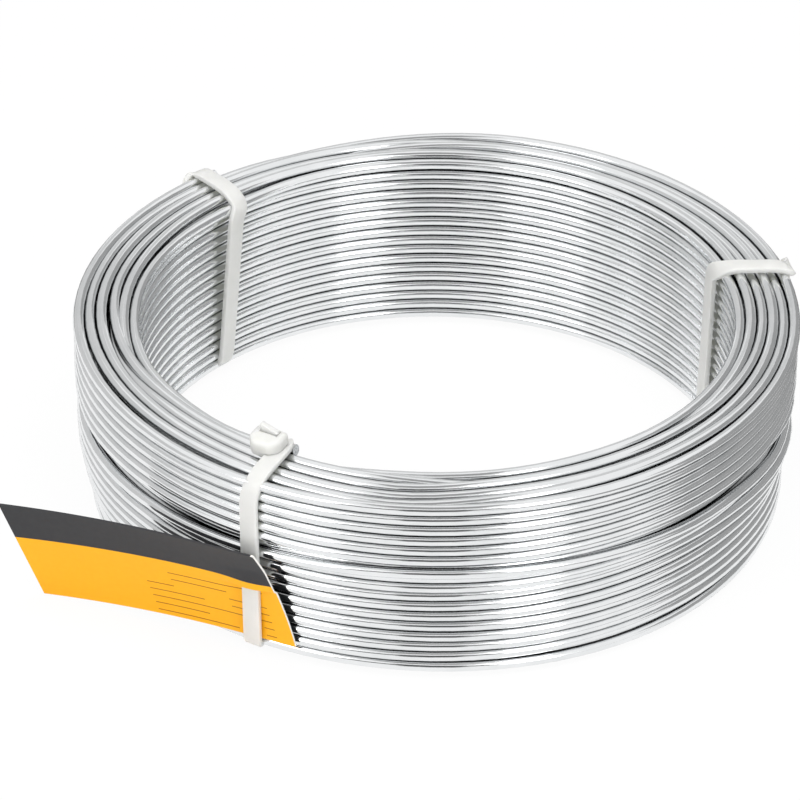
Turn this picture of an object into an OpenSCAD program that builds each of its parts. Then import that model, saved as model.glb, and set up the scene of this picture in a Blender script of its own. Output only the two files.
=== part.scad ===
// Coil of galvanised wire, held by three nylon cable ties, with a card tag on the front tie.
// The coil's axis is Z. It stands on the undersides of its ties, at z = 0.

/* [Wire] */
// Diameter of the wire
wire_d = 2.11; // [1.6:0.01:2.8]
// Inside diameter of the coil, between the innermost turns
bore_d = 113; // [90:0.5:160]
// Turns beside each other in a full layer
rows = 17; // [9:2:25]
// Full layers, from the bore outwards
layers = 5; // [3:1:9]
// Turns in the part layer, outside the full ones and level with the top
part_rows = 8; // [3:1:17]
// Distance between neighbouring turns of one layer
pitch = 2.15; // [1.9:0.01:2.9]
// Distance between neighbouring layers
layer_step = 1.92; // [1.6:0.01:2.6]
// How far the valley between two turns is filled, from the line through their centres
gap_fill = 0.3; // [0.15:0.01:0.5]

/* [Ties] */
// Width of a tie's strap
strap_w = 3.5; // [2.5:0.1:5]
// Thickness of a tie's strap
strap_t = 1.1; // [0.8:0.05:1.6]
// Clearance between a strap and the turns that it is drawn over
strap_gap = 0.1; // [0.05:0.05:0.3]
// Place of the front tie round the coil, in degrees
front_angle = 241; // [225:1:255]
// Place of the right tie round the coil, in degrees
right_angle = 14.5; // [0:0.5:30]
// Place of the left tie round the coil, in degrees
left_angle = 134.8; // [120:0.2:150]
// Width of a tie's head
head_w = 6.4; // [5:0.1:8]
// Length of a tie's head along its strap
head_l = 5.2; // [4:0.1:7]
// Height of a tie's head
head_h = 3.6; // [3:0.1:5]
// Depth of the entry recess round the tail, in a head
recess_d = 0.7; // [0.3:0.1:1.2]
// Length of the cut tail above a head, on its long side
tail_l = 1.5; // [1:0.1:6]
// Slope of the front tie's head, whose end at the bore is the higher one
head_slope = 7; // [0:1:20]

/* [Tag] */
// Length of the tag's top edge
tag_l = 53; // [40:1:65]
// Thickness of the tag's card
tag_t = 0.5; // [0.3:0.05:0.8]
// Clearance on each side of the tag, under the strap
tag_gap = 0.15; // [0.1:0.05:0.3]
// Height of the tag's top edge above the coil's underside, at the tie
tag_top = 23.8; // [20:0.1:28]
// Height of the tag's bottom edge above the coil's underside, at the tie
tag_bottom = 3; // [2:0.1:6]
// How far the tag's top edge leans away from the coil
tag_lean = 5.6; // [4:0.1:8]
// How far the tag's free end flares out from the coil
tag_flare = 6; // [0:0.1:9]
// Length of the tag beyond the tie, to the right of its middle line
tag_end = 2.8; // [2:0.1:6]
// Length of the slot that the strap passes through
slot_l = 8.6; // [7.6:0.1:9]

/* [Hidden] */
$fn = 96;

wire_r = wire_d / 2;
coil_z = strap_t + strap_gap;            // height of the coil's underside
first_r = bore_d / 2 + wire_r;           // radius of the innermost layer's turns
stagger = pitch / 2;                     // every second layer sits half a pitch higher
ring_sides = 720;                        // sides of the coil's circle, for a true revolved surface
part_layer = layers;                     // number of the part layer, counted from 0 at the bore
part_first = rows - part_rows;           // lowest row of the part layer

// Radius and height of a turn's centre, from its layer and row
function layer_r(i) = first_r + i * layer_step;
function row_z(i, j) = coil_z + wire_r + j * pitch + (i % 2) * stagger;
function turn(i, j) = [layer_r(i), row_z(i, j)];

// Turns that show on the four sides of the winding, anticlockwise from the bottom of the bore
bottom_turns = [for (i = [0 : layers - 1]) turn(i, 0)];
lower_turns = [for (j = [1 : 1 : part_first - (part_layer + 1) % 2]) turn(layers - 1, j)];
outer_turns = [for (j = [part_first : rows - 1]) turn(part_layer, j)];
top_turns = [for (i = [layers - 1 : -1 : 0]) turn(i, rows - 1)];
bore_turns = [for (j = [rows - 2 : -1 : 1]) turn(0, j)];

// The core's outline runs through those centres, moved out by gap_fill
function moved(points, by) = [for (p = points) p + by * gap_fill];
core_outline = concat(
    moved([bottom_turns[0]], [-1, -1]),
    moved([for (k = [1 : layers - 2]) bottom_turns[k]], [0, -1]),
    moved([bottom_turns[layers - 1]], [1, -1]),
    moved(lower_turns, [1, 0]),
    moved([for (k = [0 : part_rows - 2]) outer_turns[k]], [1, 0]),
    moved([outer_turns[part_rows - 1]], [1, 1]),
    moved([for (k = [0 : layers - 2]) top_turns[k]], [0, 1]),
    moved([top_turns[layers - 1]], [-1, 1]),
    moved(bore_turns, [-1, 0])
);

module wire_coil() {
    color([0.78, 0.79, 0.8])
        rotate_extrude($fn = ring_sides)
            union() {
                polygon(core_outline);
                for (p = concat(bottom_turns, lower_turns, outer_turns, top_turns, bore_turns))
                    translate(p) circle(d = wire_d, $fn = 48);
            }
}

// Corners that a strap is drawn over, as centres of turns, anticlockwise from the bottom of the bore.
// The strap stands off by lift where the tag lies under it.
function corners(lift) = [
    turn(0, 0),
    turn(layers - 1 - (layers + 1) % 2, 0) + [lift, 0],
    turn(part_layer, part_first),
    turn(part_layer, rows - 1),
    turn(1, rows - 1),
    turn(0, rows - 1)
];

// Outline at a distance from a convex loop of points: the loop, a strip along each side, a circle at each corner
module outline(points, distance) {
    polygon(points);
    for (k = [0 : len(points) - 1]) {
        a = points[k];
        b = points[(k + 1) % len(points)];
        along = (b - a) / norm(b - a);
        out = [along[1], -along[0]] * distance;
        polygon([a, a + out, b + out, b]);
        translate(a) circle(r = distance, $fn = 48);
    }
}

// Strap drawn tight round the winding, in the plane of X and Z
module strap(lift) {
    inner = wire_r + strap_gap;
    rotate([90, 0, 0])
        linear_extrude(height = strap_w, center = true)
            difference() {
                outline(corners(lift), inner + strap_t);
                outline(corners(lift), inner);
            }
}

// Head and cut tail. The head's seat is the plane z = 0, and its strap leaves along +X.
// The tail comes up through the head at its back and is cut off at a slant.
neck_share = 0.3;                        // share of the head's length over which it narrows to the strap
entry_wall = 0.5;                        // wall between the entry recess and the back end of the head
entry_gap = 0.3;                         // space between the tail and the sides of the entry recess
tail_short = 0.3;                        // length of the cut tail above a head, on its short side
tail_root = 0.1;                         // how far the cut tail reaches down into the head

module head() {
    half_w = head_w / 2;
    half_l = head_l / 2;
    half_strap = strap_w / 2;
    neck = half_l - head_l * neck_share;
    tail_x = entry_wall + entry_gap - half_l;
    difference() {
        linear_extrude(height = head_h)
            polygon([
                [-half_l, -half_w], [neck, -half_w], [half_l, -half_strap],
                [half_l, half_strap], [neck, half_w], [-half_l, half_w]
            ]);
        translate([tail_x - entry_gap, -half_strap - entry_gap, head_h - recess_d])
            cube([strap_t + 3 * entry_gap, strap_w + 2 * entry_gap, recess_d + 1]);
    }
    translate([tail_x, half_strap, 0])
        rotate([90, 0, 0])
            linear_extrude(height = strap_w)
                square([strap_t, head_h]);
    translate([tail_x + strap_t, 0, head_h])
        rotate([0, -90, 0])
            linear_extrude(height = strap_t)
                polygon([
                    [-tail_root, -half_strap], [-tail_root, half_strap],
                    [tail_short, half_strap], [tail_l, -half_strap]
                ]);
}

// Puts a head on the two innermost layers at the top, level with the strap on its outer side
head_inwards = 0.3;                      // how far the middle of the head lies nearer the bore than the second layer

module head_on_top() {
    seat = turn(1, rows - 1) + [-head_inwards, wire_r + strap_gap];
    translate([seat[0], 0, seat[1]])
        rotate([0, head_slope, 0])
            translate([0, 0, tan(head_slope) * head_l / 2])
                head();
}

// Puts a head on the outer wall, low down, with its tail pointing out
head_place = 0.32;                       // share of the way from the lowest turn up to the part layer
head_sink = 0.8;                         // share of the strap's thickness that lies inside the head

module head_on_wall() {
    a = turn(layers - 1, 0);
    b = turn(part_layer, part_first);
    slant = atan2(b[0] - a[0], b[1] - a[1]);
    seat = a + (b - a) * head_place;
    translate([seat[0], 0, seat[1]])
        rotate([0, 90 + slant, 0])
            translate([0, 0, wire_r + strap_gap + strap_t * (1 - head_sink)])
                head();
}

module tie_front() {
    color([0.93, 0.93, 0.91])
        rotate([0, 0, front_angle]) {
            strap(tag_t + 2 * tag_gap);
            head_on_top();
        }
}

module tie_left() {
    color([0.9, 0.9, 0.88])
        rotate([0, 0, left_angle]) {
            strap(0);
            head_on_wall();
        }
}

module tie_right() {
    color([0.9, 0.9, 0.88])
        rotate([0, 0, right_angle]) {
            strap(0);
            head_on_wall();
        }
}

// The tag is a flat card that the strap bends: u runs along it from its free end, and v from its top edge down.
// Its points are given with the tie's direction as X: distance from the axis, distance along the tangent, and height.
tag_seat = layer_r(layers - 1) + wire_r + strap_gap + tag_gap + tag_t / 2;
tag_slant = 5;                           // how far the bottom edge lies further right than the top edge
tag_droop = 2.6;                         // how far the free end hangs lower than the end at the tie
lean_power = 2.2;                        // how the lean grows towards the top edge
flare_start = 0.75;                      // share of the length, from the free end, that flares out
u_steps = 26;
v_steps = 10;
slot_place = 0.45;                       // middle of the slot, as a share of the tag's height from its top
slot_gap = 0.3;                          // space between the strap and each side of the slot
slot_reach = 5;                          // how far the slot's cutter reaches in front of the seat and behind it

function tag_along(u, v) = tag_end - tag_l * (1 - u) + tag_slant * v;
function tag_out(u, v) =
    tag_seat + tag_lean * pow(1 - v, lean_power) + tag_flare * pow(max(0, flare_start - u) / flare_start, 2);
function tag_up(v) = coil_z + tag_top + (tag_bottom - tag_top) * v;
function tag_middle(u, v) = [tag_out(u, v), tag_along(u, v), tag_up(v) - tag_droop * (1 - u)];

// Unit normal of the card's middle surface, pointing away from the coil
function tag_normal(u, v) =
    let (
        e = 0.01,
        du = tag_middle(u + e, v) - tag_middle(u - e, v),
        v1 = min(1, v + e),
        v0 = max(0, v - e),
        dv = tag_middle(u, v1) - tag_middle(u, v0),
        n = cross(dv, du)
    ) (n[0] > 0 ? n : -n) / norm(n);

function tag_face(side) = [
    for (i = [0 : u_steps]) for (j = [0 : v_steps])
        let (u = i / u_steps, v = j / v_steps)
            tag_middle(u, v) + side * tag_t / 2 * tag_normal(u, v)
];

// Faces of a closed sheet: two grids of points and the four edges between them
module sheet(front, back, nu, nv) {
    count = (nu + 1) * (nv + 1);
    function at(i, j) = i * (nv + 1) + j;
    front_faces = [for (i = [0 : nu - 1]) for (j = [0 : nv - 1]) each [
        [at(i, j), at(i + 1, j), at(i + 1, j + 1)],
        [at(i, j), at(i + 1, j + 1), at(i, j + 1)]
    ]];
    back_faces = [for (f = front_faces) [f[0] + count, f[2] + count, f[1] + count]];
    rim = concat(
        [for (i = [nu : -1 : 1]) at(i, 0)],
        [for (j = [0 : nv - 1]) at(0, j)],
        [for (i = [0 : nu - 1]) at(i, nv)],
        [for (j = [nv : -1 : 1]) at(nu, j)]
    );
    rim_faces = [for (k = [0 : len(rim) - 1])
        let (a = rim[k], b = rim[(k + 1) % len(rim)]) each [[a, b, b + count], [a, b + count, a + count]]];
    polyhedron(concat(front, back), concat(front_faces, back_faces, rim_faces));
}

module tag() {
    slot_w = strap_w + 2 * slot_gap;
    color([0.95, 0.7, 0.15])
        rotate([0, 0, front_angle])
            difference() {
                sheet(tag_face(1), tag_face(-1), u_steps, v_steps);
                translate([tag_seat - slot_reach, -slot_w / 2, tag_up(slot_place) - slot_l / 2])
                    cube([3 * slot_reach, slot_w, slot_l]);
            }
}

wire_coil();
tie_front();
tie_left();
tie_right();
tag();
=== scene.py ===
# Coil of galvanised wire with three cable ties and a card tag, as in the photograph.
# Lengths in the dictionaries are in millimetres and angles in degrees; 0 degrees is +X, and 270 faces the camera.
import math

import bmesh
import bpy
import numpy as np
from mathutils import Matrix, Vector


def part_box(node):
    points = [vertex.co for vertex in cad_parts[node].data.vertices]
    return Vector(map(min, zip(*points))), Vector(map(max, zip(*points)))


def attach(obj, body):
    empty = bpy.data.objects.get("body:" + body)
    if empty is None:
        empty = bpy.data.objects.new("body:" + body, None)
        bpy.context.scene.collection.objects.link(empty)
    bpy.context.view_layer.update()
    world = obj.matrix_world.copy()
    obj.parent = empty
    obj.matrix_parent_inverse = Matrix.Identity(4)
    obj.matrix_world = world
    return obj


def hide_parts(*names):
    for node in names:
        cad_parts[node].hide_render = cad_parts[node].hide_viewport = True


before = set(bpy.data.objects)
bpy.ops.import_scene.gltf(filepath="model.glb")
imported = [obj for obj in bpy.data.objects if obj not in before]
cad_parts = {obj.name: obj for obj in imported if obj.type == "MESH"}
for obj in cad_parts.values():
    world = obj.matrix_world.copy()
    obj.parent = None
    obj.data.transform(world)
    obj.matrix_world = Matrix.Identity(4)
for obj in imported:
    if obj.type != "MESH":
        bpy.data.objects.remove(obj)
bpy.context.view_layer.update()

mm = 0.001
scene = bpy.context.scene
scene.view_settings.view_transform = "Standard"


# Colours are written as sRGB hex values and turned into linear ones here
def colour(hexCode, alpha=1.0):
    parts = [int(hexCode[i : i + 2], 16) / 255 for i in (1, 3, 5)]
    return [p / 12.92 if p <= 0.04045 else ((p + 0.055) / 1.055) ** 2.4 for p in parts] + [alpha]


# Adds one node with its settings and what goes into its sockets: a link or a value
def addNode(tree, kind, settings=None, inputs=None):
    node = tree.nodes.new(kind)
    for key, value in (settings or {}).items():
        setattr(node, key, value)
    for key, value in (inputs or {}).items():
        if isinstance(value, bpy.types.NodeSocket):
            tree.links.new(value, node.inputs[key])
        else:
            node.inputs[key].default_value = value
    return node


def newMaterial(name):
    material = bpy.data.materials.new(name)
    material.use_nodes = True
    tree = material.node_tree
    tree.nodes.clear()
    output = addNode(tree, "ShaderNodeOutputMaterial")
    return material, tree, output


# A smooth curve through (place, value) pairs, in rising order of place
def curveThrough(pairs, at):
    x, y = np.array(pairs, float).T
    slope = np.gradient(y, x)
    k = np.clip(np.searchsorted(x, at) - 1, 0, len(x) - 2)
    h = x[k + 1] - x[k]
    t = np.clip((at - x[k]) / h, 0, 1)
    a = (1 + 2 * t) * (1 - t) ** 2
    b = t * (1 - t) ** 2 * h
    return a * y[k] + b * slope[k] + (1 - a) * y[k + 1] - t**2 * (1 - t) * h * slope[k + 1]


# The same round the coil: pairs of (angle, value) that close on themselves
def roundCurve(pairs, angle):
    ring = sorted(pairs)
    ring = [(a - 360, v) for a, v in ring[-2:]] + ring + [(a + 360, v) for a, v in ring[:2]]
    return curveThrough(ring, np.mod(angle, 360))


def triangleCount(mesh):
    return sum(len(p.vertices) - 2 for p in mesh.polygons)


def smoothStep(t):
    t = np.clip(t, 0, 1)
    return t * t * (3 - 2 * t)


# One wire is wound clockwise, seen from above. It starts at its cut end on top of the bore's edge, fills five
# layers down, up, down, up and down, runs once round the outside as a loose turn and ends as the part layer.
winding = {
    "wire": 2.11,
    "bore": 113.0,
    "rows": 17,
    "fullLayers": 5,
    "partLayerFrom": 11,
    "startAngle": 243.4,
    "endAngle": 131.0,
    "firstCrossing": 240.0,
    "lastCrossing": 100.0,
    "crossingWidth": 52.0,
    "stepsPerTurn": 104,
    "sides": 10,
    "drawnShare": 1.01,
    "creaseAngle": 63,
    "outerClearance": 0.02,
    "seed": 4,
    "waves": 4,
    "leastWave": 0.4,
    "rowPlay": 0.05,
    "layerPlay": 0.08,
    "settlingRows": 10,
    "slippedRow": 11,
}
coilLow, coilHigh = (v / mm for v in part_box("wire_coil"))
wireR = winding["wire"] / 2
innerR = winding["bore"] / 2 + wireR
outerR = coilHigh.y - wireR - winding["outerClearance"]
layerStep = (outerR - innerR) / winding["fullLayers"]
lowestRow = coilLow.z + wireR
pitch = (coilHigh.z - coilLow.z - winding["wire"]) / (winding["rows"] - 0.5)
topRow = winding["rows"] - 1
highest = coilHigh.z - wireR

# The top turn of each layer, as it was wound by hand: (angle, distance from the axis, depth below the highest)
topTurns = [
    [(0, 57.2, 0.5), (45, 57.4, 0.8), (90, 57.4, 0.9), (120, 56.8, 0.9), (135, 56.1, 0.9), (152, 56.6, 0.85),
     (180, 56.95, 0.6), (200, 57.0, 1.1), (216, 56.2, 1.0), (232, 55.8, 1.4), (250, 56.0, 0.85), (264, 56.0, 0.75),
     (280, 57.0, 0.05), (300, 57.05, 0), (312, 57.3, 0.05), (335, 57.3, 0.4)],
    [(0, 59.3, 0), (90, 59.45, 0), (120, 59.2, 0), (150, 58.9, 0), (180, 58.95, 0), (200, 58.75, 0), (216, 58.0, 0),
     (232, 57.6, 0), (250, 57.95, 0), (264, 58.3, 0.15), (280, 58.45, 1.4), (312, 58.5, 1.5), (330, 58.9, 0.7),
     (345, 59.2, 0.1)],
    [(0, 61.5, 0.4), (45, 61.4, 0.7), (90, 61.4, 0.9), (120, 61.4, 0.6), (150, 61.5, 0.5), (180, 61.25, 0.45),
     (200, 60.7, 0.7), (216, 60.1, 0), (232, 59.75, 0), (250, 60.3, 0), (264, 60.95, 0.1), (280, 59.9, 0.05),
     (300, 59.8, 0), (315, 60.0, 0), (330, 60.6, 0.2)],
    [(0, 63.5, 0), (45, 63.35, 0), (90, 63.3, 0), (150, 63.4, 0), (180, 63.3, 0.05), (200, 62.6, 0.1), (216, 62.15, 0),
     (232, 62.1, 0), (250, 62.7, 0.3), (264, 63.15, 0.5), (280, 62.85, 0), (312, 62.7, 0.3), (330, 63.1, 0.2)],
    [(0, 65.45, 0.4), (45, 65.3, 0.8), (90, 65.2, 0.9), (120, 65.4, 0.7), (155, 65.85, 0.5), (180, 65.55, 0.5),
     (200, 64.8, 0.1), (216, 64.4, 0), (232, 64.25, 0), (250, 64.7, 0.5), (264, 65.1, 0.9), (280, 65.05, 0.05),
     (312, 64.7, 0), (330, 65.1, 0.2)],
    [(0, 67.55, 0), (45, 67.3, 0), (90, 67.05, 0), (130, 67.2, 0), (160, 67.4, 0), (180, 67.55, 0), (200, 67.35, 0.1),
     (216, 67.3, 0.1), (232, 67.2, 0.45), (250, 67.1, 0.45), (264, 67.1, 0.4), (280, 67.1, 0.3), (312, 67.2, 0.5),
     (330, 67.3, 0.3)],
]
# How far the part layer swells outwards, and how far its lowest row hangs below its place: (angle, distance)
partSwell = [(0, 0.3), (14, 0.4), (40, 0.2), (90, -0.05), (135, 0.1), (160, 0.3), (185, 0.4), (205, 0.3), (225, 0.15),
             (241, 0), (256, 0), (300, 0.1), (330, 0.15), (350, 0.2)]
partSag = [(0, 0.1), (90, 0), (150, 0.8), (180, 1.4), (200, 1.5), (208, 0.95), (225, 0.5), (242, 0.4), (268, 0.38),
           (300, 0.1)]
# The lower wall bulges at the left and at the right limb: (angle, share), and for each row how far at either side
leftBulge = [(0, 0), (130, 0), (150, 1), (190, 1), (205, 0.6), (215, 0.25), (228, 0), (300, 0)]
rightBulge = [(0, 0.7), (8, 0.3), (16, 0), (100, 0), (250, 0), (325, 0), (343, 1), (353, 1)]
leftBulgeRows = [-0.2, -0.2, 0.45, 1.0, 1.45, 1.8, 1.9, 1.9, 0.1]
rightBulgeRows = [0, 0.3, 0.3, 0.2, 0.1, 0.65, 1.3, 1.8, 0.1]
# One turn of the fifth layer has slipped out and down between the part layer and the loose turn:
# (angle, distance from the axis, height above the coil's underside)
slippedTurn = [
    (0, 67.1, 22.2), (14, 66.8, 22.7), (30, 65.6, 24.2), (45, 65.235, 24.7), (105, 65.235, 24.7), (125, 66.0, 23.6),
    (145, 67.1, 22.2), (184, 67.1, 22.1), (192, 66.7, 22.3), (200, 66.2, 22.8), (208, 66.1, 23.2), (225, 66.1, 23.6),
    (240, 66.0, 23.7), (250, 65.6, 24.3), (262, 65.235, 24.7), (320, 65.235, 24.7), (330, 65.6, 24.3),
    (340, 66.3, 23.2), (350, 67.1, 22.2),
]
# The loose turn, followed against the winding's angle: (angle, height above the coil's underside, radius)
looseTurn = [
    (-290, 23.7, 67.1), (-262, 21.7, 67.1), (-235, 20.0, 67.2), (-198, 18.5, 67.2), (-180, 18.7, 67.2),
    (-164, 19.2, 67.2), (-152, 19.8, 67.1), (-135, 20.6, 66.8), (-118, 21.4, 66.7), (-92, 22.3, 66.7),
    (-75, 22.1, 66.8), (-60, 21.6, 66.9), (-45, 21.0, 66.9), (-34, 20.8, 66.9), (-28, 20.2, 66.9), (-18, 18.9, 66.8),
    (-5, 18.6, 66.6), (8, 17.2, 66.9), (20, 15.5, 67.1), (40, 12.0, 67.2), (70, 7.0, 67.1), (100, 3.5, 66.9),
    (130, 1.1, 66.0),
]
# The lowest turn hangs a little at the right front: (angle, drop)
lowestSag = [(0, 0.1), (90, 0), (180, 0), (262, 0), (285, 0.3), (305, 0.45), (322, 0.3), (340, 0.1)]
# How far the wire's start springs up at its cut end: (angle, lift)
startLift = [(213, 0), (222, 0), (230, 0.1), (238, 0.35), (243.4, 0.8)]

# Each turn wanders in height and in radius by a few waves of random size and phase
randomSource = np.random.default_rng(winding["seed"])
tableShape = (winding["fullLayers"] + 1, winding["rows"] + 1, 2, winding["waves"], 2)
wanderTable = randomSource.uniform(0, 1, tableShape)


# A turn's wander round the coil, mostly between -1 and 1; which is 0 for height and 1 for radius
def wander(layer, row, which, angle):
    total = 0
    for k, (size, phase) in enumerate(wanderTable[layer, row, which]):
        height = winding["leastWave"] + (1 - winding["leastWave"]) * size
        total = total + height * np.cos((k + 1) * np.radians(angle) + phase * 2 * math.pi)
    return total / (winding["waves"] - 1)


# A table's first column with another one, as the pairs that a curve goes through
def column(table, k):
    return [(row[0], row[k]) for row in table]


# Distance from the axis and height of a turn's centre at these angles
def turnPlace(layer, row, angle):
    height = lowestRow + pitch * (row + 0.5 * (layer % 2)) + winding["rowPlay"] * wander(layer, row, 0, angle)
    radius = innerR + layerStep * layer + winding["layerPlay"] * wander(layer, row, 1, angle)
    lastLayer = winding["fullLayers"] - 1
    depth = roundCurve(column(topTurns[layer], 2), angle) - (0 if layer % 2 else pitch / 2)
    if row >= topRow:
        radius = roundCurve(column(topTurns[layer], 1), angle)
        height = height - depth
    elif layer <= lastLayer:
        share = max(0, 1 - (topRow - row) / winding["settlingRows"])
        height = height - share * np.maximum(depth, 0)
    else:
        share = (topRow - row) / (topRow - winding["partLayerFrom"])
        height = height - (1 - share) * depth - share * roundCurve(partSag, angle)
        radius = radius - winding["layerPlay"] + roundCurve(partSwell, angle)
    if layer == lastLayer:
        if row == 0:
            height = height - roundCurve(lowestSag, angle)
        if row < len(leftBulgeRows):
            radius = radius + leftBulgeRows[row] * roundCurve(leftBulge, angle)
            radius = radius + rightBulgeRows[row] * roundCurve(rightBulge, angle)
        if row == winding["slippedRow"]:
            radius = roundCurve(column(slippedTurn, 1), angle)
            height = coilLow.z + roundCurve(column(slippedTurn, 2), angle)
    return radius, height


def loosePlace(angle):
    return curveThrough(column(looseTurn, 2), angle), coilLow.z + curveThrough(column(looseTurn, 1), angle)


# The order of the turns, and where the wire crosses from one to the next
turns = [(0, topRow + 1)]
for layer in range(winding["fullLayers"]):
    down = range(topRow, -1, -1)
    turns += [(layer, row) for row in (down if layer % 2 == 0 else reversed(down))]
turns.append("loose")
turns += [(winding["fullLayers"], row) for row in range(winding["partLayerFrom"], winding["rows"])]


# Angle at which the wire crosses from turn k to turn k + 1, counted back from the start without a break.
# From the second layer to the last it drifts from the left front, where the coil hides it, to the back.
def crossingAngle(k):
    last = (winding["fullLayers"] - 1) * winding["rows"]
    drift = np.clip((k - winding["rows"]) / (last - winding["rows"]), 0, 1)
    return winding["firstCrossing"] + drift * (winding["lastCrossing"] - winding["firstCrossing"]) - 360 * k


stepAngle = 360 / winding["stepsPerTurn"]
endAngle = winding["endAngle"] - 360 * (len(turns) - 1)
count = int(round((winding["startAngle"] - endAngle) / stepAngle))
angles = np.linspace(winding["startAngle"], endAngle, count + 1)
radii = np.zeros_like(angles)
heights = np.zeros_like(angles)
half = winding["crossingWidth"] / 2
for k, turn in enumerate(turns):
    begins = smoothStep((crossingAngle(k - 1) + half - angles) / (2 * half)) if k else np.ones_like(angles)
    leaves = smoothStep((crossingAngle(k) + half - angles) / (2 * half)) if k < len(turns) - 1 else 0
    weight = begins - leaves
    if turn == "loose":
        radius, height = loosePlace(angles + 360 * (k - 1))
    else:
        radius, height = turnPlace(turn[0], turn[1], angles)
    radii += weight * radius
    heights += weight * height

heights += curveThrough(startLift, angles)
wirePath = np.stack([radii * np.cos(np.radians(angles)), radii * np.sin(np.radians(angles)), heights], 1)
wireLength = np.linalg.norm(np.diff(wirePath, axis=0), axis=1).sum()
print("wire path", len(wirePath), "points,", round(wireLength / 1000, 2), "m")


# An open poly curve through points given in millimetres
def polyCurve(name, points):
    data = bpy.data.curves.new(name, "CURVE")
    data.dimensions = "3D"
    spline = data.splines.new("POLY")
    spline.points.add(len(points) - 1)
    spline.points.foreach_set("co", np.c_[np.asarray(points) * mm, np.ones(len(points))].ravel())
    obj = bpy.data.objects.new(name, data)
    scene.collection.objects.link(obj)
    return obj


# Runs a geometry tree on an object and puts the result in its place as a plain mesh
def bakeTree(obj, tree, values):
    modifier = obj.modifiers.new(tree.name, "NODES")
    modifier.node_group = tree
    identifiers = {s.name: s.identifier for s in tree.interface.items_tree if s.item_type == "SOCKET"}
    for key, value in values.items():
        modifier[identifiers[key]] = value
    evaluated = obj.evaluated_get(bpy.context.evaluated_depsgraph_get())
    mesh = bpy.data.meshes.new_from_object(evaluated)
    name = obj.name
    bpy.data.objects.remove(obj)
    mesh.name = name
    baked = bpy.data.objects.new(name, mesh)
    scene.collection.objects.link(baked)
    return baked


def newTree(name, sockets):
    tree = bpy.data.node_groups.new(name, "GeometryNodeTree")
    tree.interface.new_socket("Geometry", in_out="INPUT", socket_type="NodeSocketGeometry")
    for label, kind in sockets:
        tree.interface.new_socket(label, in_out="INPUT", socket_type=kind)
    tree.interface.new_socket("Geometry", in_out="OUTPUT", socket_type="NodeSocketGeometry")
    return tree, addNode(tree, "NodeGroupInput"), addNode(tree, "NodeGroupOutput")


# Sweeps a round section along the wire's path, with flat cut ends, and keeps the place along and round the wire
def wireTree():
    tree, given, result = newTree(
        "wireSweep",
        [("Diameter", "NodeSocketFloat"), ("Sides", "NodeSocketInt"), ("Material", "NodeSocketMaterial")],
    )
    g = given.outputs
    radius = addNode(tree, "ShaderNodeMath", {"operation": "MULTIPLY"}, {0: g["Diameter"], 1: 0.5})
    section = addNode(
        tree, "GeometryNodeCurvePrimitiveCircle", inputs={"Resolution": g["Sides"], "Radius": radius.outputs[0]}
    )
    aroundFactor = addNode(tree, "GeometryNodeSplineParameter")
    alongLength = addNode(tree, "GeometryNodeSplineParameter")
    sectionKept = addNode(
        tree,
        "GeometryNodeStoreNamedAttribute",
        {"data_type": "FLOAT", "domain": "POINT"},
        {"Geometry": section.outputs["Curve"], "Name": "around", "Value": aroundFactor.outputs["Factor"]},
    )
    pathKept = addNode(
        tree,
        "GeometryNodeStoreNamedAttribute",
        {"data_type": "FLOAT", "domain": "POINT"},
        {"Geometry": g["Geometry"], "Name": "along", "Value": alongLength.outputs["Length"]},
    )
    upright = addNode(tree, "GeometryNodeSetCurveNormal", {"mode": "Z_UP"}, {"Curve": pathKept.outputs["Geometry"]})
    swept = addNode(
        tree,
        "GeometryNodeCurveToMesh",
        inputs={
            "Curve": upright.outputs["Curve"],
            "Profile Curve": sectionKept.outputs["Geometry"],
            "Fill Caps": True,
        },
    )
    smooth = addNode(tree, "GeometryNodeSetShadeSmooth", {"domain": "FACE"}, {"Geometry": swept.outputs["Mesh"]})
    edgeAngle = addNode(tree, "GeometryNodeInputMeshEdgeAngle")
    # Only the rims of the cut ends are sharp
    sharp = addNode(
        tree,
        "ShaderNodeMath",
        {"operation": "GREATER_THAN"},
        {0: edgeAngle.outputs["Unsigned Angle"], 1: math.radians(winding["creaseAngle"])},
    )
    creased = addNode(
        tree,
        "GeometryNodeSetShadeSmooth",
        {"domain": "EDGE"},
        {"Geometry": smooth.outputs[0], "Selection": sharp.outputs[0], "Shade Smooth": False},
    )
    real = addNode(tree, "GeometryNodeRealizeInstances", inputs={"Geometry": creased.outputs[0]})
    finished = addNode(
        tree, "GeometryNodeSetMaterial", inputs={"Geometry": real.outputs["Geometry"], "Material": g["Material"]}
    )
    tree.links.new(finished.outputs["Geometry"], result.inputs["Geometry"])
    return tree


# Hot-dip zinc on drawn steel wire: a bright, smooth metal with long faint streaks and soft clouds.
# The streaks and clouds are real sizes; the valleys between the turns get painted shade over the given width.
zincFinish = {
    "streakLength": 16.67,
    "streaksRound": 14.0,
    "streakDepth": 0.02,
    "cloudSize": 6.25,
    "valleyWidth": 1.6,
}


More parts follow.
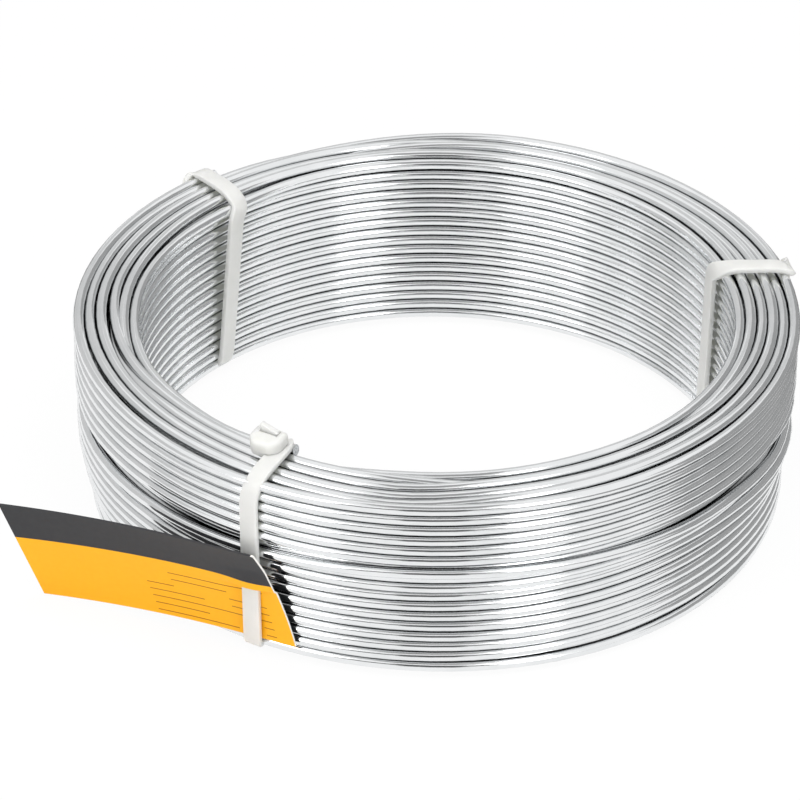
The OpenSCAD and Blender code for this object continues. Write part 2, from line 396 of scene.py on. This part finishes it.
def zincMaterial():
    material, tree, output = newMaterial("galvanisedZinc")
    along = addNode(tree, "ShaderNodeAttribute", {"attribute_name": "along"})
    around = addNode(tree, "ShaderNodeAttribute", {"attribute_name": "around"})
    place = addNode(tree, "ShaderNodeCombineXYZ", inputs={"X": along.outputs["Fac"], "Y": around.outputs["Fac"]})
    streakScale = (1 / (zincFinish["streakLength"] * mm), zincFinish["streaksRound"], 1.0)
    streakPlace = addNode(
        tree, "ShaderNodeVectorMath", {"operation": "MULTIPLY"}, {0: place.outputs[0], 1: streakScale}
    )
    streaks = addNode(
        tree, "ShaderNodeTexNoise", inputs={"Vector": streakPlace.outputs[0], "Scale": 1.0, "Detail": 3.0}
    )
    objectPlace = addNode(tree, "ShaderNodeTexCoord")
    clouds = addNode(
        tree,
        "ShaderNodeTexNoise",
        inputs={"Vector": objectPlace.outputs["Object"], "Scale": 1 / (zincFinish["cloudSize"] * mm), "Detail": 2.0},
    )
    tone = addNode(
        tree,
        "ShaderNodeMapRange",
        inputs={"Value": clouds.outputs[0], "From Min": 0.3, "From Max": 0.7, "To Min": 0.0, "To Max": 1.0},
    )
    base = addNode(
        tree,
        "ShaderNodeMix",
        {"data_type": "RGBA"},
        {"Factor": tone.outputs[0], "A": colour("#e6e8e9"), "B": colour("#eeeff0")},
    )
    # Painted shade: the base colour darkens towards dark grey in the valleys between the turns, where the wires shade
    # each other
    exposed = addNode(
        tree,
        "ShaderNodeAmbientOcclusion",
        {"samples": 6, "only_local": True},
        {"Color": base.outputs["Result"], "Distance": zincFinish["valleyWidth"] * mm},
    )
    valley = addNode(
        tree,
        "ShaderNodeMapRange",
        inputs={"Value": exposed.outputs["AO"], "From Min": 0.1, "From Max": 0.55, "To Min": 0.0, "To Max": 1.0},
    )
    # The base colour with the painted valley shade mixed in
    valleyShadedBase = addNode(
        tree,
        "ShaderNodeMix",
        {"data_type": "RGBA"},
        {"Factor": valley.outputs[0], "A": colour("#2a2c2e"), "B": base.outputs["Result"]},
    )
    gloss = addNode(
        tree,
        "ShaderNodeMapRange",
        inputs={"Value": streaks.outputs[0], "From Min": 0.3, "From Max": 0.7, "To Min": 0.08, "To Max": 0.15},
    )
    bump = addNode(
        tree,
        "ShaderNodeBump",
        inputs={"Strength": 0.15, "Distance": zincFinish["streakDepth"] * mm, "Height": streaks.outputs[0]},
    )
    shader = addNode(
        tree,
        "ShaderNodeBsdfPrincipled",
        inputs={
            "Base Color": valleyShadedBase.outputs["Result"],
            "Metallic": 1.0,
            "Roughness": gloss.outputs[0],
            "Normal": bump.outputs[0],
        },
    )
    tree.links.new(shader.outputs[0], output.inputs["Surface"])
    return material


zinc = zincMaterial()
wire = bakeTree(
    polyCurve("galvanised_wire", wirePath),
    wireTree(),
    {"Diameter": winding["wire"] * winding["drawnShare"] * mm, "Sides": winding["sides"], "Material": zinc},
)
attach(wire, "root")
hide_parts("wire_coil")
print("wire swept,", triangleCount(wire.data), "triangles")


# Natural nylon, injection moulded: milky and slightly translucent, with a satin skin and a soft mottle
nylonFinish = {
    "mottleSize": 2.22,
    "mottleDepth": 0.05,
    "lightReach": 3.0,
}


def nylonMaterial():
    material, tree, output = newMaterial("naturalNylon")
    place = addNode(tree, "ShaderNodeTexCoord")
    mottle = addNode(
        tree,
        "ShaderNodeTexNoise",
        inputs={"Vector": place.outputs["Object"], "Scale": 1 / (nylonFinish["mottleSize"] * mm), "Detail": 3.0},
    )
    base = addNode(
        tree,
        "ShaderNodeMix",
        {"data_type": "RGBA"},
        {"Factor": mottle.outputs[0], "A": colour("#dcdcd8"), "B": colour("#e6e6e2")},
    )
    bump = addNode(
        tree,
        "ShaderNodeBump",
        inputs={"Strength": 0.1, "Distance": nylonFinish["mottleDepth"] * mm, "Height": mottle.outputs[0]},
    )
    shader = addNode(
        tree,
        "ShaderNodeBsdfPrincipled",
        inputs={
            "Base Color": base.outputs["Result"],
            "Roughness": 0.42,
            "IOR": 1.53,
            "Normal": bump.outputs[0],
            "Subsurface Weight": 0.5,
            "Subsurface Radius": (1.0, 1.0, 0.9),
            "Subsurface Scale": nylonFinish["lightReach"] * mm,
        },
    )
    tree.links.new(shader.outputs[0], output.inputs["Surface"])
    return material


# A cable tie: strap, head and cut tail
tie = {
    "width": 3.5,
    "thickness": 1.1,
    "gap": 0.1,
    "edgeRound": 0.25,
    "edgeSteps": 3,
    "cornerStep": 6.0,
    "cornerEase": 0.4,
    "pathStep": 0.8,
    "smoothing": 8,
    "headWidth": 6.4,
    "headLength": 5.2,
    "headHeight": 3.6,
    "headRound": 0.8,
    "neckShare": 0.3,
    "recessDepth": 0.4,
    "recessWall": 0.65,
    "tailGap": 0.15,
    "tailLong": 1.5,
    "tailShort": 0.3,
    "tailRoot": 0.3,
    "tailRound": 0.12,
    "headSink": 0.33,
    "floorGap": 0.02,
    "creaseAngle": 50,
}
# Each tie's angle round the coil changes along its loop: (direction the strap faces, angle), where 0 faces outwards,
# 90 up, 180 into the bore and 270 down. The front head sits on top, and the other two low on the outer wall.
ties = {
    "tie_front": {
        "angles": [(0, 241.0), (60, 241.6), (84, 241.9), (90, 239.4), (96, 238.4), (180, 238.4), (270, 239.5),
                   (330, 241.0)],
        "headAngle": 239.5,
        "headRadius": 59.18,
        "headSlope": 7.0,
    },
    "tie_left": {
        "angles": [(0, 135.5), (40, 133.1), (84, 133.4), (100, 134.6), (178, 133.8), (182, 138.7), (310, 137.5)],
        "wallHeight": 8.0,
    },
    "tie_right": {
        "angles": [(0, 16.0), (40, 11.0), (84, 11.5), (100, 14.5), (178, 15.8), (182, 21.0), (310, 18.5)],
        "wallHeight": 8.0,
    },
}


# Distance from the axis and height of every turn where it passes this angle
def turnsAt(angle):
    passes = np.arange(angle - 360 * len(turns), winding["startAngle"], 360)
    passes = passes[passes > endAngle]
    return np.interp(-passes, -angles, radii), np.interp(-passes, -angles, heights)


# Middle line of a strap drawn tight round the turns, and the direction that it faces at each point
def strapLoop(name):
    facing = np.arange(0, 360, tie["cornerStep"])
    corners, directions = [], []
    places, values = zip(*ties[name]["angles"])
    for face, angle in zip(facing, np.interp(facing, places, values, period=360)):
        r, z = turnsAt(angle)
        if name == "tie_front":
            padR, padZ = zip(*tag["padUnderStrap"])
            r, z = np.append(r, padR), np.append(z, padZ)
        c, s = math.cos(math.radians(face)), math.sin(math.radians(face))
        k = np.argmax(r * c + z * s)
        offset = wireR + tie["gap"] + tie["thickness"] / 2 + tie["cornerEase"] * abs(2 * c * s)
        out = Vector((math.cos(math.radians(angle)), math.sin(math.radians(angle)), 0))
        corners.append(out * (r[k] + offset * c) + Vector((0, 0, z[k] + offset * s)))
        directions.append(out * c + Vector((0, 0, s)))
    points, faces = [], []
    for k in range(len(corners)):
        a, b = corners[k], corners[(k + 1) % len(corners)]
        pieces = round((b - a).length / tie["pathStep"])
        for step in range(pieces):
            points.append(a.lerp(b, step / pieces))
            faces.append(directions[k].lerp(directions[(k + 1) % len(corners)], step / pieces))
    # Nylon doesn't bend sharply, so the loop is eased round its corners
    points, faces = np.array(points), np.array(faces)
    for _ in range(tie["smoothing"]):
        points = (np.roll(points, 1, 0) + 2 * points + np.roll(points, -1, 0)) / 4
        faces = (np.roll(faces, 1, 0) + 2 * faces + np.roll(faces, -1, 0)) / 4
    points[:, 2] = np.maximum(points[:, 2], tie["thickness"] / 2 + tie["floorGap"])
    return [Vector(p) for p in points], [Vector(f).normalized() for f in faces]


# Sweeps a flat section with rounded edges along a closed loop of edges that knows which way it faces
def strapTree():
    tree, given, result = newTree(
        "strapSweep",
        [("Width", "NodeSocketFloat"), ("Thickness", "NodeSocketFloat"), ("Edge Round", "NodeSocketFloat"),
         ("Edge Steps", "NodeSocketInt"), ("Material", "NodeSocketMaterial")],
    )
    g = given.outputs
    section = addNode(
        tree, "GeometryNodeCurvePrimitiveQuadrilateral", inputs={"Width": g["Thickness"], "Height": g["Width"]}
    )
    rounded = addNode(
        tree,
        "GeometryNodeFilletCurve",
        {"mode": "POLY"},
        {"Curve": section.outputs[0], "Radius": g["Edge Round"], "Count": g["Edge Steps"], "Limit Radius": True},
    )
    loop = addNode(tree, "GeometryNodeMeshToCurve", inputs={"Mesh": g["Geometry"]})
    facing = addNode(tree, "GeometryNodeInputNamedAttribute", {"data_type": "FLOAT_VECTOR"}, {"Name": "facing"})
    turned = addNode(
        tree,
        "GeometryNodeSetCurveNormal",
        {"mode": "FREE"},
        {"Curve": loop.outputs[0], "Normal": facing.outputs["Attribute"]},
    )
    swept = addNode(
        tree, "GeometryNodeCurveToMesh", inputs={"Curve": turned.outputs[0], "Profile Curve": rounded.outputs[0]}
    )
    smooth = addNode(tree, "GeometryNodeSetShadeSmooth", {"domain": "FACE"}, {"Geometry": swept.outputs["Mesh"]})
    real = addNode(tree, "GeometryNodeRealizeInstances", inputs={"Geometry": smooth.outputs[0]})
    finished = addNode(
        tree, "GeometryNodeSetMaterial", inputs={"Geometry": real.outputs["Geometry"], "Material": g["Material"]}
    )
    tree.links.new(finished.outputs["Geometry"], result.inputs["Geometry"])
    return tree


# A prism over an outline, with rounded edges
def prism(outline, height, rounding=0.0, steps=3):
    bm = bmesh.new()
    base = [bm.verts.new((x * mm, y * mm, 0)) for x, y in outline]
    bottom = bm.faces.new(base)
    raised = bmesh.ops.extrude_face_region(bm, geom=[bottom])["geom"]
    bmesh.ops.translate(bm, vec=(0, 0, height * mm), verts=[v for v in raised if isinstance(v, bmesh.types.BMVert)])
    bmesh.ops.recalc_face_normals(bm, faces=bm.faces)
    if rounding:
        bmesh.ops.bevel(bm, geom=bm.edges[:], offset=rounding * mm, segments=steps, profile=0.5, affect="EDGES")
    mesh = bpy.data.meshes.new("prism")
    bm.to_mesh(mesh)
    bm.free()
    obj = bpy.data.objects.new("prism", mesh)
    scene.collection.objects.link(obj)
    return obj


# Takes one solid out of another and returns the mesh that is left
def cutAway(obj, cutter):
    modifier = obj.modifiers.new("cut", "BOOLEAN")
    modifier.operation = "DIFFERENCE"
    modifier.solver = "EXACT"
    modifier.object = cutter
    mesh = bpy.data.meshes.new_from_object(obj.evaluated_get(bpy.context.evaluated_depsgraph_get()))
    bpy.data.objects.remove(obj)
    bpy.data.objects.remove(cutter)
    return mesh


# The head with its entry recess, seated on z = 0 with its strap leaving along +X, and the cut tail at its back
def headMeshes():
    halfL, halfW, halfStrap = tie["headLength"] / 2, tie["headWidth"] / 2, tie["width"] / 2
    neck = halfL - tie["headLength"] * tie["neckShare"]
    head = prism(
        [(-halfL, -halfW), (neck, -halfW), (halfL, -halfStrap), (halfL, halfStrap), (neck, halfW), (-halfL, halfW)],
        tie["headHeight"],
        tie["headRound"],
    )
    recessX = tie["recessWall"] - halfL
    recessW = halfStrap + tie["tailGap"]
    recessEnd = recessX + tie["thickness"] + 3 * tie["tailGap"]
    corners = [(recessX, -recessW), (recessEnd, -recessW), (recessEnd, recessW), (recessX, recessW)]
    recess = prism(corners, tie["headHeight"])
    recess.location.z = (tie["headHeight"] - tie["recessDepth"]) * mm
    bpy.context.view_layer.update()
    headMesh = cutAway(head, recess)
    # The tail's outline stands in the plane of its width, cut off at a slant
    level = tie["headHeight"] - tie["recessDepth"] - tie["tailRoot"]
    tail = prism(
        [(level, -halfStrap), (tie["headHeight"] + tie["tailLong"], -halfStrap),
         (tie["headHeight"] + tie["tailShort"], halfStrap), (level, halfStrap)],
        tie["thickness"],
        tie["tailRound"],
        2,
    )
    tailX = (recessX + tie["tailGap"]) * mm
    tail.data.transform(Matrix(((0, 0, 1, tailX), (0, 1, 0, 0), (1, 0, 0, 0), (0, 0, 0, 1))))
    tail.data.flip_normals()
    tailMesh = tail.data.copy()
    bpy.data.objects.remove(tail)
    return headMesh, tailMesh


# Where a tie's head sits: on top, sloping up towards the bore, or on the wall with its strap leaving downwards
def headFrame(name, points, faces):
    setting = ties[name]
    if "headRadius" in setting:
        slope = math.radians(setting["headSlope"])
        lift = math.tan(slope) * tie["headLength"] / 2
        seat = Matrix.Translation(Vector((setting["headRadius"], 0, coilHigh.z + tie["gap"] + lift)) * mm)
        turned = Matrix.Rotation(math.radians(setting["headAngle"]), 4, "Z")
        return turned @ seat @ Matrix.Rotation(slope, 4, "Y")
    wanted = coilLow.z + setting["wallHeight"]
    k = min(
        (k for k in range(len(points)) if faces[k].z < 0.5 and faces[k].dot(points[k]) > 0),
        key=lambda k: abs(points[k].z - wanted),
    )
    down = (points[k - 1] - points[(k + 1) % len(points)]).normalized()
    out = (faces[k] - down * faces[k].dot(down)).normalized()
    side = out.cross(down)
    place = (points[k] - out * tie["headSink"]) * mm
    return Matrix.Translation(place) @ Matrix((down, side, out)).transposed().to_4x4()


# Joins meshes, each moved by its own matrix, into one
def joinMeshes(name, parts):
    bm = bmesh.new()
    for mesh, matrix in parts:
        copy = mesh.copy()
        copy.transform(matrix)
        bm.from_mesh(copy)
        bpy.data.meshes.remove(copy)
    mesh = bpy.data.meshes.new(name)
    bm.to_mesh(mesh)
    bm.free()
    obj = bpy.data.objects.new(name, mesh)
    scene.collection.objects.link(obj)
    return obj


# The tag is a flat card that the strap bends: u runs along it from its free end, and v from its top edge down
tag = {
    "angle": 241.0,
    "length": 52.1,
    "thickness": 0.4,
    "seat": 66.79,
    "top": 23.8,
    "bottom": 3.1,
    "lean": 4.9,
    "leanPower": 2.2,
    "flare": 3.9,
    "flareStart": 0.75,
    "end": 2.6,
    "slant": 5.9,
    "droop": 3.9,
    "stepsLong": 60,
    "stepsHigh": 40,
    "slotFrom": 0.425,
    "slotTo": 0.45,
    "slotHalfLength": 2.6,
    "pressReach": 4.5,
    "strapRadius": 67.3,
    "strapLevel": 2.3,
    "strapSlope": 0.047,
    "pressGap": 0.35,
    "bandShare": 0.36,
    "fibreSize": 1.11,
    "fibreDepth": 0.03,
    "creaseAngle": 50,
    # Points of the card under the strap: (distance from the axis, height)
    "padUnderStrap": [(66.085, 2.275), (66.6, 12.0)],
}


# A point of the card's middle surface, in the tie's own directions: outwards, along the tangent and up
def tagPoint(u, v):
    out = tag["seat"] + tag["lean"] * max(0, 1 - v) ** (1 + (tag["leanPower"] - 1) * min(1, max(0, u)))
    out += tag["flare"] * (max(0, tag["flareStart"] - u) / tag["flareStart"]) ** 2
    along = tag["end"] - tag["length"] * (1 - u) + tag["slant"] * v
    up = coilLow.z + tag["top"] + (tag["bottom"] - tag["top"]) * v - tag["droop"] * (1 - u)
    # Above the slot the strap presses the card outwards, and below it inwards
    inside = tag["strapRadius"] + (up - tag["strapLevel"]) * tag["strapSlope"]
    press = math.exp(-((along / tag["pressReach"]) ** 2))
    if v < (tag["slotFrom"] + tag["slotTo"]) / 2:
        out += press * max(0, inside + tie["thickness"] + tag["pressGap"] - out)
    else:
        out -= press * max(0, out - inside + tag["pressGap"])
    return Vector((out, along, up))


# Which way the card faces at a point, measured without crossing the slot
def tagNormal(u, v):
    reach, slotEdge = 0.004, 0.001
    middle = (tag["slotFrom"] + tag["slotTo"]) / 2
    low, high = (0, middle - slotEdge) if v < middle else (middle + slotEdge, 1)
    du = tagPoint(u + reach, v) - tagPoint(u - reach, v)
    dv = tagPoint(u, min(high, v + reach)) - tagPoint(u, max(low, v - reach))
    return dv.cross(du).normalized() * (1 if dv.cross(du).x > 0 else -1)


# The card as a closed solid on its own grid, with the strap's slot cut through
def tagMesh():
    nu, nv = tag["stepsLong"], tag["stepsHigh"]
    rows = sorted(set(np.round(np.linspace(0, 1, nv + 1), 4)) | {tag["slotFrom"], tag["slotTo"], tag["bandShare"]})
    shares = [(i / nu, v) for i in range(nu + 1) for v in rows]
    total = len(shares)
    verts = []
    for side in (0.5, -0.5):
        verts += [(tagPoint(u, v) + tagNormal(u, v) * side * tag["thickness"]) * mm for u, v in shares]
    front = []
    for i in range(nu):
        for j in range(len(rows) - 1):
            a = i * len(rows) + j
            inSlot = abs(tagPoint((i + 0.5) / nu, rows[j]).y) < tag["slotHalfLength"]
            if inSlot and tag["slotFrom"] <= rows[j] < tag["slotTo"]:
                continue
            front.append((a, a + 1, a + len(rows) + 1, a + len(rows)))
    back = [tuple(k + total for k in reversed(face)) for face in front]
    borders = {(face[k], face[(k + 1) % 4]) for face in front for k in range(4)}
    rim = [(b, a, a + total, b + total) for a, b in borders if (b, a) not in borders]
    faces = front + back + rim
    sides = [1.0] * len(front) + [-1.0] * len(back) + [0.0] * len(rim)
    mesh = bpy.data.meshes.new("card_tag")
    mesh.from_pydata(verts, [], faces)
    # Which side of the card a face is on: 1 front, 0 cut edge, -1 back
    mesh.attributes.new("side", "FLOAT", "FACE").data.foreach_set("value", sides)
    sheet = mesh.uv_layers.new(name="sheet")
    for loop in mesh.loops:
        sheet.data[loop.index].uv = shares[loop.vertex_index % total]
    mesh.shade_smooth()
    mesh.set_sharp_from_angle(angle=math.radians(tag["creaseAngle"]))
    mesh.transform(Matrix.Rotation(math.radians(tag["angle"]), 4, "Z"))
    return mesh


# Printed card with a satin skin: an orange front with a dark band and thin rules, a dark grey back, a white cut edge.
# The places of the rules are shares of the card's height or length, and their thickness a share of their spacing.
rules = {
    "first": 0.5,
    "above": 0.01,
    "spacing": 0.075,
    "thickness": 0.13,
    "from": 0.45,
    "to": 0.93,
    "dashes": 9.0,
    "missing": 0.3,
    "cutEdge": 0.99,
}


def cardMaterial():
    material, tree, output = newMaterial("printedCard")
    share = addNode(tree, "ShaderNodeUVMap", {"uv_map": "sheet"})
    split = addNode(tree, "ShaderNodeSeparateXYZ", inputs={0: share.outputs[0]})
    side = addNode(tree, "ShaderNodeAttribute", {"attribute_name": "side"})
    cell = addNode(tree, "ShaderNodeCombineXYZ")
    chance = addNode(tree, "ShaderNodeTexWhiteNoise", inputs={"Vector": cell.outputs[0]})
    made = {
        "along": split.outputs[0],
        "down": split.outputs[1],
        "side": side.outputs["Fac"],
        "chance": chance.outputs["Value"],
    }
    # Rules in equal rows, each broken into dashes of its own; then the band and the card's three sides
    for label, operation, a, b in [
        ("belowFirst", "SUBTRACT", "down", rules["first"]),
        ("rows", "DIVIDE", "belowFirst", rules["spacing"]),
        ("rowNumber", "FLOOR", "rows", 0.0),
        ("intoRow", "FRACT", "rows", 0.0),
        ("onRule", "LESS_THAN", "intoRow", rules["thickness"]),
        ("startsBelow", "GREATER_THAN", "down", rules["first"] - rules["above"]),
        ("pastStart", "GREATER_THAN", "along", rules["from"]),
        ("beforeEnd", "LESS_THAN", "along", rules["to"]),
        ("dashes", "MULTIPLY", "along", rules["dashes"]),
        ("dashNumber", "FLOOR", "dashes", 0.0),
        ("kept", "GREATER_THAN", "chance", rules["missing"]),
        ("onRow", "MULTIPLY", "onRule", "startsBelow"),
        ("inLength", "MULTIPLY", "pastStart", "beforeEnd"),
        ("inField", "MULTIPLY", "onRow", "inLength"),
        ("ruled", "MULTIPLY", "inField", "kept"),
        ("band", "LESS_THAN", "down", tag["bandShare"]),
        ("isFront", "GREATER_THAN", "side", 0.5),
        ("isBack", "LESS_THAN", "side", -0.5),
        ("awayFromEnd", "LESS_THAN", "along", rules["cutEdge"]),
        ("printed", "MAXIMUM", "isFront", "awayFromEnd"),
    ]:
        values = {0: made.get(a, a), 1: made.get(b, b)}
        made[label] = addNode(tree, "ShaderNodeMath", {"operation": operation, "label": label}, values).outputs[0]
    tree.links.new(made["dashNumber"], cell.inputs["X"])
    tree.links.new(made["rowNumber"], cell.inputs["Y"])
    place = addNode(tree, "ShaderNodeTexCoord")
    fibre = addNode(
        tree,
        "ShaderNodeTexNoise",
        inputs={"Vector": place.outputs["Object"], "Scale": 1 / (tag["fibreSize"] * mm), "Detail": 2.0},
    )
    # Each print colour over the one before it: (factor, colour or the mix before it, colour)
    mixed = {}
    for label, factor, a, b in [
        ("orange", fibre.outputs[0], "#fbb014", "#feb81c"),
        ("dark", fibre.outputs[0], "#333335", "#3b3b3d"),
        ("ruledOrange", made["ruled"], "orange", "#a8660c"),
        ("front", made["band"], "ruledOrange", "dark"),
        ("edged", made["printed"], "#f2f0ea", "front"),
        ("base", made["isBack"], "edged", "dark"),
    ]:
        values = {"Factor": factor, "A": mixed.get(a) or colour(a), "B": mixed.get(b) or colour(b)}
        mixed[label] = addNode(tree, "ShaderNodeMix", {"data_type": "RGBA", "label": label}, values).outputs["Result"]
    bump = addNode(
        tree,
        "ShaderNodeBump",
        inputs={"Strength": 0.08, "Distance": tag["fibreDepth"] * mm, "Height": fibre.outputs[0]},
    )
    shader = addNode(
        tree,
        "ShaderNodeBsdfPrincipled",
        inputs={
            "Base Color": mixed["base"],
            "Roughness": 0.5,
            "Specular IOR Level": 0.25,
            "Normal": bump.outputs[0],
        },
    )
    tree.links.new(shader.outputs[0], output.inputs["Surface"])
    return material


nylon = nylonMaterial()
sweep = strapTree()
headMesh, tailMesh = headMeshes()
for name in ties:
    points, faces = strapLoop(name)
    loopLength = sum((b - a).length for a, b in zip(points, points[1:] + points[:1]))
    loop = bpy.data.meshes.new("loop")
    loop.from_pydata([p * mm for p in points], [(k, (k + 1) % len(points)) for k in range(len(points))], [])
    facing = loop.attributes.new("facing", "FLOAT_VECTOR", "POINT")
    facing.data.foreach_set("vector", np.array(faces, np.float32).ravel())
    path = bpy.data.objects.new(name + "_strap", loop)
    scene.collection.objects.link(path)
    strap = bakeTree(
        path,
        sweep,
        {"Width": tie["width"] * mm, "Thickness": tie["thickness"] * mm, "Edge Round": tie["edgeRound"] * mm,
         "Edge Steps": tie["edgeSteps"], "Material": nylon},
    )
    seat = headFrame(name, points, faces)
    finished = joinMeshes("nylon_" + name, [(strap.data, Matrix()), (headMesh, seat), (tailMesh, seat)])
    finished.data.materials.clear()
    finished.data.materials.append(nylon)
    finished.data.shade_smooth()
    finished.data.set_sharp_from_angle(angle=math.radians(tie["creaseAngle"]))
    bpy.data.objects.remove(strap)
    for vertex in finished.data.vertices:
        vertex.co.z = max(vertex.co.z, tie["floorGap"] * mm)
    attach(finished, "root")
    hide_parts(name)
    print(name, "drawn tight,", round(loopLength, 1), "mm round,", triangleCount(finished.data), "triangles")

cardMesh = tagMesh()
cardMesh.materials.append(cardMaterial())
card = bpy.data.objects.new("card_tag", cardMesh)
scene.collection.objects.link(card)
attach(card, "root")
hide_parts("tag")
print("card tag bent,", triangleCount(cardMesh), "triangles")


# The studio: lamps that light the object, and cards of one grey that only its reflections see
studio = {
    "floorSize": 6000.0,
    "floorDrop": 0.05,
    "floorGlow": 0.93,
    "softLight": 0.42,
    "white": 1.0,
    "objectMiddle": (0, 0, 20),
    "lamps": {
        "softTop": {"place": (0, -150, 900), "size": (900, 700), "power": 6.0, "mirrored": False},
        "stripRight": {"place": (430, -745, 470), "size": (260, 640), "power": 1.9, "mirrored": True},
        "softLeft": {"place": (-620, -640, 520), "size": (500, 480), "power": 2.0, "mirrored": True},
    },
    "cards": {
        "cardLine": {"place": (0, -1400, 560), "size": (1700, 330), "grey": 0.02},
        "cardFront": {"place": (0, -1600, 420), "size": (560, 1500), "grey": 0.28},
        "cardTop": {"place": (0, -330, 1200), "size": (480, 900), "grey": 0.38},
        "cardBack": {"place": (0, 1500, 700), "size": (900, 1400), "grey": 0.7},
        "cardLeft": {"place": (-1000, 500, 450), "size": (2200, 900), "grey": 0.66},
        "cardRight": {"place": (1000, 500, 450), "size": (2200, 900), "grey": 0.38},
        "cardBackFloor": {"place": (0, 800, 0.4), "size": (900, 1300), "grey": 0.15, "lies": True},
        "cardRightFloor": {"place": (500, 200, 0.4), "size": (820, 1800), "grey": 0.36, "lies": True},
    },
    "cameraDistance": 905.5,
    "cameraElevation": 32.463,
    "cameraRoll": 0.264,
    "cameraAim": (-6.83, -1.07, 18.32),
    "lens": 213.48,
    "sensor": 36.0,
}


# 1 for what the camera sees itself, in a reflection or through something clear, and 0 for light on the object
def seenShare(tree):
    path = addNode(tree, "ShaderNodeLightPath")
    rays = [path.outputs[kind] for kind in ("Is Camera Ray", "Is Glossy Ray", "Is Transmission Ray")]
    sight = addNode(tree, "ShaderNodeMath", {"operation": "MAXIMUM"}, {0: rays[0], 1: rays[1]})
    return addNode(tree, "ShaderNodeMath", {"operation": "MAXIMUM"}, {0: sight.outputs[0], 1: rays[2]}).outputs[0]


# Matt white paint that looks plain white to the camera and in the wire, and still takes the object's shadow
def whiteFloorMaterial():
    material, tree, output = newMaterial("mattWhiteFloor")
    matte = addNode(tree, "ShaderNodeBsdfDiffuse", inputs={"Color": colour("#ffffff")})
    glow = addNode(
        tree, "ShaderNodeEmission", inputs={"Color": colour("#ffffff"), "Strength": studio["white"]}
    )
    share = addNode(
        tree, "ShaderNodeMath", {"operation": "MULTIPLY"}, {0: seenShare(tree), 1: studio["floorGlow"]}
    )
    mix = addNode(tree, "ShaderNodeMixShader", inputs={0: share.outputs[0], 1: matte.outputs[0], 2: glow.outputs[0]})
    tree.links.new(mix.outputs[0], output.inputs["Surface"])
    return material


# A flat rectangle round its own middle
def addSheet(name, size):
    mesh = bpy.data.meshes.new(name)
    w, h = size[0] / 2 * mm, size[1] / 2 * mm
    mesh.from_pydata([(-w, -h, 0), (w, -h, 0), (w, h, 0), (-w, h, 0)], [], [(0, 1, 2, 3)])
    sheet = bpy.data.objects.new(name, mesh)
    scene.collection.objects.link(sheet)
    return sheet


# Puts a lamp or card in its place and turns its face to the target
def aimAt(obj, place, target):
    obj.location = Vector(place) * mm
    obj.rotation_euler = (Vector(target) * mm - obj.location).to_track_quat("-Z", "Y").to_euler()


def addFloor():
    floor = addSheet("studioFloor", (studio["floorSize"], studio["floorSize"]))
    floor.location.z = -studio["floorDrop"] * mm
    floor.data.materials.append(whiteFloorMaterial())
    return floor


def addWorld():
    world = bpy.data.worlds.new("studioWorld")
    scene.world = world
    world.use_nodes = True
    tree = world.node_tree
    tree.nodes.clear()
    output = addNode(tree, "ShaderNodeOutputWorld")
    soft, white = (
        addNode(tree, "ShaderNodeBackground", inputs={"Color": colour("#ffffff"), "Strength": studio[strength]})
        for strength in ("softLight", "white")
    )
    mix = addNode(tree, "ShaderNodeMixShader", inputs={0: seenShare(tree), 1: soft.outputs[0], 2: white.outputs[0]})
    tree.links.new(mix.outputs[0], output.inputs["Surface"])


def addLamp(name, setting):
    data = bpy.data.lights.new(name, "AREA")
    data.shape = "RECTANGLE"
    data.size, data.size_y = (v * mm for v in setting["size"])
    data.energy = setting["power"]
    lamp = bpy.data.objects.new(name, data)
    scene.collection.objects.link(lamp)
    aimAt(lamp, setting["place"], studio["objectMiddle"])
    lamp.visible_glossy = setting["mirrored"]
    return lamp


# Grey card, evenly lit, that gives the wire its dark and pale streaks
def addCard(name, setting):
    card = addSheet(name, setting["size"])
    x, y, z = setting["place"]
    aimAt(card, setting["place"], (x, y, z - 100) if "lies" in setting else studio["objectMiddle"])
    material, tree, output = newMaterial(name + "Grey")
    shader = addNode(
        tree, "ShaderNodeEmission", inputs={"Color": colour("#ffffff"), "Strength": setting["grey"]}
    )
    tree.links.new(shader.outputs[0], output.inputs["Surface"])
    card.data.materials.append(material)
    card.visible_camera = False
    card.visible_diffuse = False
    card.visible_transmission = False
    card.visible_shadow = False
    return card


# The photograph's camera, fitted to the coil's outlines
def addCamera():
    elevation = math.radians(studio["cameraElevation"])
    data = bpy.data.cameras.new("photoCamera")
    data.lens = studio["lens"]
    data.sensor_width = studio["sensor"]
    data.clip_start = 10 * mm
    data.clip_end = 50000 * mm
    camera = bpy.data.objects.new("photoCamera", data)
    scene.collection.objects.link(camera)
    away = Vector((0, -math.cos(elevation), math.sin(elevation)))
    place = Vector(studio["objectMiddle"]) + studio["cameraDistance"] * away
    look = (Vector(studio["cameraAim"]) - place).to_track_quat("-Z", "Y")
    roll = Matrix.Rotation(math.radians(studio["cameraRoll"]), 4, "Z")
    camera.location = place * mm
    camera.rotation_euler = (look.to_matrix().to_4x4() @ roll).to_euler()
    scene.camera = camera


floor = addFloor()
addWorld()
lamps = [addLamp(name, setting) for name, setting in studio["lamps"].items()]
greyCards = [addCard(name, setting) for name, setting in studio["cards"].items()]
addCamera()
print("studio set:", len(lamps), "lamps,", len(greyCards), "grey cards")
